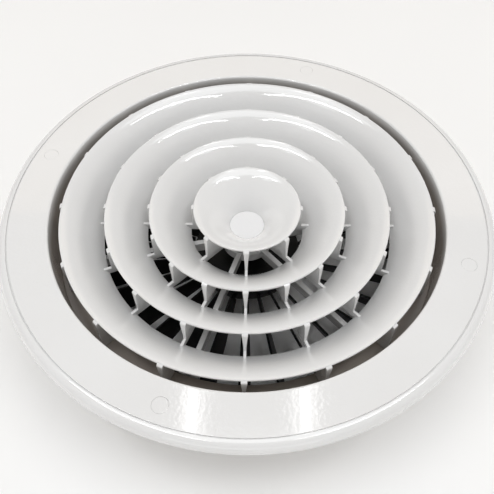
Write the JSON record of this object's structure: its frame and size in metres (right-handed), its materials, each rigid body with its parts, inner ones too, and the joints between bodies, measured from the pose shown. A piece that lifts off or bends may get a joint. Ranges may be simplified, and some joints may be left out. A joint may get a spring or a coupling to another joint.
{
  "type": "ceiling air diffuser",
  "caption": "Round ceiling air diffuser with concentric bell-shaped cones on radial ribs, a flanged face, a duct collar and a radial-blade volume damper behind.",
  "frame": {"origin": "centre of the duct collar's free end, in the plane that the part stands on", "axes": "+Z out of the face, away from the duct and towards the room; -Y towards the viewer of the picture; a rib of every set lies on -Y"},
  "size_m": [0.35, 0.35, 0.0807],
  "materials": {
    "body_white": "glossy moulded white plastic",
    "damper_black": "satin black moulded plastic",
    "fastener_steel": "bright zinc-plated steel",
    "insert_brass": "plain machined brass"
  },
  "bodies": {
    "frame": {"face_flange": "body_white", "face_skirt": "body_white", "core_ledge": "body_white", "duct_collar": "body_white", "screw_plug_1": "body_white", "screw_plug_2": "body_white", "screw_plug_3": "body_white", "screw_plug_4": "body_white", "support_spider": "body_white", "threaded_insert": "insert_brass", "damper_housing": "damper_black", "damper_hub": "damper_black", "hub_washer": "fastener_steel", "hub_screw": "fastener_steel"},
    "core": {"centre_dish": "body_white", "inner_cone": "body_white", "middle_cone": "body_white", "outer_cone": "body_white", "centre_cap": "body_white", "core_washer": "fastener_steel", "core_screw": "fastener_steel"},
    "drive": {"drive_plate": "damper_black"},
    "blade_01": {"damper_blade_01": "damper_black"},
    "blade_02": {"damper_blade_02": "damper_black"},
    "blade_03": {"damper_blade_03": "damper_black"},
    "blade_04": {"damper_blade_04": "damper_black"},
    "blade_05": {"damper_blade_05": "damper_black"},
    "blade_06": {"damper_blade_06": "damper_black"},
    "blade_07": {"damper_blade_07": "damper_black"},
    "blade_08": {"damper_blade_08": "damper_black"},
    "blade_09": {"damper_blade_09": "damper_black"},
    "blade_10": {"damper_blade_10": "damper_black"},
    "blade_11": {"damper_blade_11": "damper_black"},
    "blade_12": {"damper_blade_12": "damper_black"},
    "blade_13": {"damper_blade_13": "damper_black"},
    "blade_14": {"damper_blade_14": "damper_black"},
    "blade_15": {"damper_blade_15": "damper_black"},
    "blade_16": {"damper_blade_16": "damper_black"},
    "blade_17": {"damper_blade_17": "damper_black"},
    "blade_18": {"damper_blade_18": "damper_black"},
    "blade_19": {"damper_blade_19": "damper_black"},
    "blade_20": {"damper_blade_20": "damper_black"},
    "blade_21": {"damper_blade_21": "damper_black"},
    "blade_22": {"damper_blade_22": "damper_black"},
    "blade_23": {"damper_blade_23": "damper_black"},
    "blade_24": {"damper_blade_24": "damper_black"},
    "blade_25": {"damper_blade_25": "damper_black"},
    "blade_26": {"damper_blade_26": "damper_black"},
    "blade_27": {"damper_blade_27": "damper_black"},
    "blade_28": {"damper_blade_28": "damper_black"}
  },
  "joints": [
    {"name": "core_lift", "type": "slide", "parent": "frame", "child": "core", "axis": [0, 0, 1], "range_m": [0, 0.06]},
    {"name": "damper_turn", "type": "hinge", "parent": "frame", "child": "drive", "pos_m": [0, 0, 0.0148], "axis": [0, 0, 1], "range_deg": [-2.16, 6.5]},
    {"name": "blade_01_tilt", "type": "hinge", "parent": "frame", "child": "blade_01", "pos_m": [0, -0.08, 0.024], "axis": [0, -1, 0], "range_deg": [-18, 54]},
    {"name": "blade_02_tilt", "type": "hinge", "parent": "frame", "child": "blade_02", "pos_m": [0.0178, -0.07799, 0.024], "axis": [0.2225, -0.9749, 0], "range_deg": [-18, 54]},
    {"name": "blade_03_tilt", "type": "hinge", "parent": "frame", "child": "blade_03", "pos_m": [0.03471, -0.07208, 0.024], "axis": [0.4339, -0.901, 0], "range_deg": [-18, 54]},
    {"name": "blade_04_tilt", "type": "hinge", "parent": "frame", "child": "blade_04", "pos_m": [0.04988, -0.06255, 0.024], "axis": [0.6235, -0.7818, 0], "range_deg": [-18, 54]},
    {"name": "blade_05_tilt", "type": "hinge", "parent": "frame", "child": "blade_05", "pos_m": [0.06255, -0.04988, 0.024], "axis": [0.7818, -0.6235, 0], "range_deg": [-18, 54]},
    {"name": "blade_06_tilt", "type": "hinge", "parent": "frame", "child": "blade_06", "pos_m": [0.07208, -0.03471, 0.024], "axis": [0.901, -0.4339, 0], "range_deg": [-18, 54]},
    {"name": "blade_07_tilt", "type": "hinge", "parent": "frame", "child": "blade_07", "pos_m": [0.07799, -0.0178, 0.024], "axis": [0.9749, -0.2225, 0], "range_deg": [-18, 54]},
    {"name": "blade_08_tilt", "type": "hinge", "parent": "frame", "child": "blade_08", "pos_m": [0.08, 0, 0.024], "axis": [1, 0, 0], "range_deg": [-18, 54]},
    {"name": "blade_09_tilt", "type": "hinge", "parent": "frame", "child": "blade_09", "pos_m": [0.07799, 0.0178, 0.024], "axis": [0.9749, 0.2225, 0], "range_deg": [-18, 54]},
    {"name": "blade_10_tilt", "type": "hinge", "parent": "frame", "child": "blade_10", "pos_m": [0.07208, 0.03471, 0.024], "axis": [0.901, 0.4339, 0], "range_deg": [-18, 54]},
    {"name": "blade_11_tilt", "type": "hinge", "parent": "frame", "child": "blade_11", "pos_m": [0.06255, 0.04988, 0.024], "axis": [0.7818, 0.6235, 0], "range_deg": [-18, 54]},
    {"name": "blade_12_tilt", "type": "hinge", "parent": "frame", "child": "blade_12", "pos_m": [0.04988, 0.06255, 0.024], "axis": [0.6235, 0.7818, 0], "range_deg": [-18, 54]},
    {"name": "blade_13_tilt", "type": "hinge", "parent": "frame", "child": "blade_13", "pos_m": [0.03471, 0.07208, 0.024], "axis": [0.4339, 0.901, 0], "range_deg": [-18, 54]},
    {"name": "blade_14_tilt", "type": "hinge", "parent": "frame", "child": "blade_14", "pos_m": [0.0178, 0.07799, 0.024], "axis": [0.2225, 0.9749, 0], "range_deg": [-18, 54]},
    {"name": "blade_15_tilt", "type": "hinge", "parent": "frame", "child": "blade_15", "pos_m": [0, 0.08, 0.024], "axis": [0, 1, 0], "range_deg": [-18, 54]},
    {"name": "blade_16_tilt", "type": "hinge", "parent": "frame", "child": "blade_16", "pos_m": [-0.0178, 0.07799, 0.024], "axis": [-0.2225, 0.9749, 0], "range_deg": [-18, 54]},
    {"name": "blade_17_tilt", "type": "hinge", "parent": "frame", "child": "blade_17", "pos_m": [-0.03471, 0.07208, 0.024], "axis": [-0.4339, 0.901, 0], "range_deg": [-18, 54]},
    {"name": "blade_18_tilt", "type": "hinge", "parent": "frame", "child": "blade_18", "pos_m": [-0.04988, 0.06255, 0.024], "axis": [-0.6235, 0.7818, 0], "range_deg": [-18, 54]},
    {"name": "blade_19_tilt", "type": "hinge", "parent": "frame", "child": "blade_19", "pos_m": [-0.06255, 0.04988, 0.024], "axis": [-0.7818, 0.6235, 0], "range_deg": [-18, 54]},
    {"name": "blade_20_tilt", "type": "hinge", "parent": "frame", "child": "blade_20", "pos_m": [-0.07208, 0.03471, 0.024], "axis": [-0.901, 0.4339, 0], "range_deg": [-18, 54]},
    {"name": "blade_21_tilt", "type": "hinge", "parent": "frame", "child": "blade_21", "pos_m": [-0.07799, 0.0178, 0.024], "axis": [-0.9749, 0.2225, 0], "range_deg": [-18, 54]},
    {"name": "blade_22_tilt", "type": "hinge", "parent": "frame", "child": "blade_22", "pos_m": [-0.08, 0, 0.024], "axis": [-1, 0, 0], "range_deg": [-18, 54]},
    {"name": "blade_23_tilt", "type": "hinge", "parent": "frame", "child": "blade_23", "pos_m": [-0.07799, -0.0178, 0.024], "axis": [-0.9749, -0.2225, 0], "range_deg": [-18, 54]},
    {"name": "blade_24_tilt", "type": "hinge", "parent": "frame", "child": "blade_24", "pos_m": [-0.07208, -0.03471, 0.024], "axis": [-0.901, -0.4339, 0], "range_deg": [-18, 54]},
    {"name": "blade_25_tilt", "type": "hinge", "parent": "frame", "child": "blade_25", "pos_m": [-0.06255, -0.04988, 0.024], "axis": [-0.7818, -0.6235, 0], "range_deg": [-18, 54]},
    {"name": "blade_26_tilt", "type": "hinge", "parent": "frame", "child": "blade_26", "pos_m": [-0.04988, -0.06255, 0.024], "axis": [-0.6235, -0.7818, 0], "range_deg": [-18, 54]},
    {"name": "blade_27_tilt", "type": "hinge", "parent": "frame", "child": "blade_27", "pos_m": [-0.03471, -0.07208, 0.024], "axis": [-0.4339, -0.901, 0], "range_deg": [-18, 54]},
    {"name": "blade_28_tilt", "type": "hinge", "parent": "frame", "child": "blade_28", "pos_m": [-0.0178, -0.07799, 0.024], "axis": [-0.2225, -0.9749, 0], "range_deg": [-18, 54]}
  ],
  "couplings": [
    {"joint": "blade_01_tilt", "follows": "damper_turn", "ratio": 8.3},
    {"joint": "blade_02_tilt", "follows": "damper_turn", "ratio": 8.3},
    {"joint": "blade_03_tilt", "follows": "damper_turn", "ratio": 8.3},
    {"joint": "blade_04_tilt", "follows": "damper_turn", "ratio": 8.3},
    {"joint": "blade_05_tilt", "follows": "damper_turn", "ratio": 8.3},
    {"joint": "blade_06_tilt", "follows": "damper_turn", "ratio": 8.3},
    {"joint": "blade_07_tilt", "follows": "damper_turn", "ratio": 8.3},
    {"joint": "blade_08_tilt", "follows": "damper_turn", "ratio": 8.3},
    {"joint": "blade_09_tilt", "follows": "damper_turn", "ratio": 8.3},
    {"joint": "blade_10_tilt", "follows": "damper_turn", "ratio": 8.3},
    {"joint": "blade_11_tilt", "follows": "damper_turn", "ratio": 8.3},
    {"joint": "blade_12_tilt", "follows": "damper_turn", "ratio": 8.3},
    {"joint": "blade_13_tilt", "follows": "damper_turn", "ratio": 8.3},
    {"joint": "blade_14_tilt", "follows": "damper_turn", "ratio": 8.3},
    {"joint": "blade_15_tilt", "follows": "damper_turn", "ratio": 8.3},
    {"joint": "blade_16_tilt", "follows": "damper_turn", "ratio": 8.3},
    {"joint": "blade_17_tilt", "follows": "damper_turn", "ratio": 8.3},
    {"joint": "blade_18_tilt", "follows": "damper_turn", "ratio": 8.3},
    {"joint": "blade_19_tilt", "follows": "damper_turn", "ratio": 8.3},
    {"joint": "blade_20_tilt", "follows": "damper_turn", "ratio": 8.3},
    {"joint": "blade_21_tilt", "follows": "damper_turn", "ratio": 8.3},
    {"joint": "blade_22_tilt", "follows": "damper_turn", "ratio": 8.3},
    {"joint": "blade_23_tilt", "follows": "damper_turn", "ratio": 8.3},
    {"joint": "blade_24_tilt", "follows": "damper_turn", "ratio": 8.3},
    {"joint": "blade_25_tilt", "follows": "damper_turn", "ratio": 8.3},
    {"joint": "blade_26_tilt", "follows": "damper_turn", "ratio": 8.3},
    {"joint": "blade_27_tilt", "follows": "damper_turn", "ratio": 8.3},
    {"joint": "blade_28_tilt", "follows": "damper_turn", "ratio": 8.3}
  ]
}
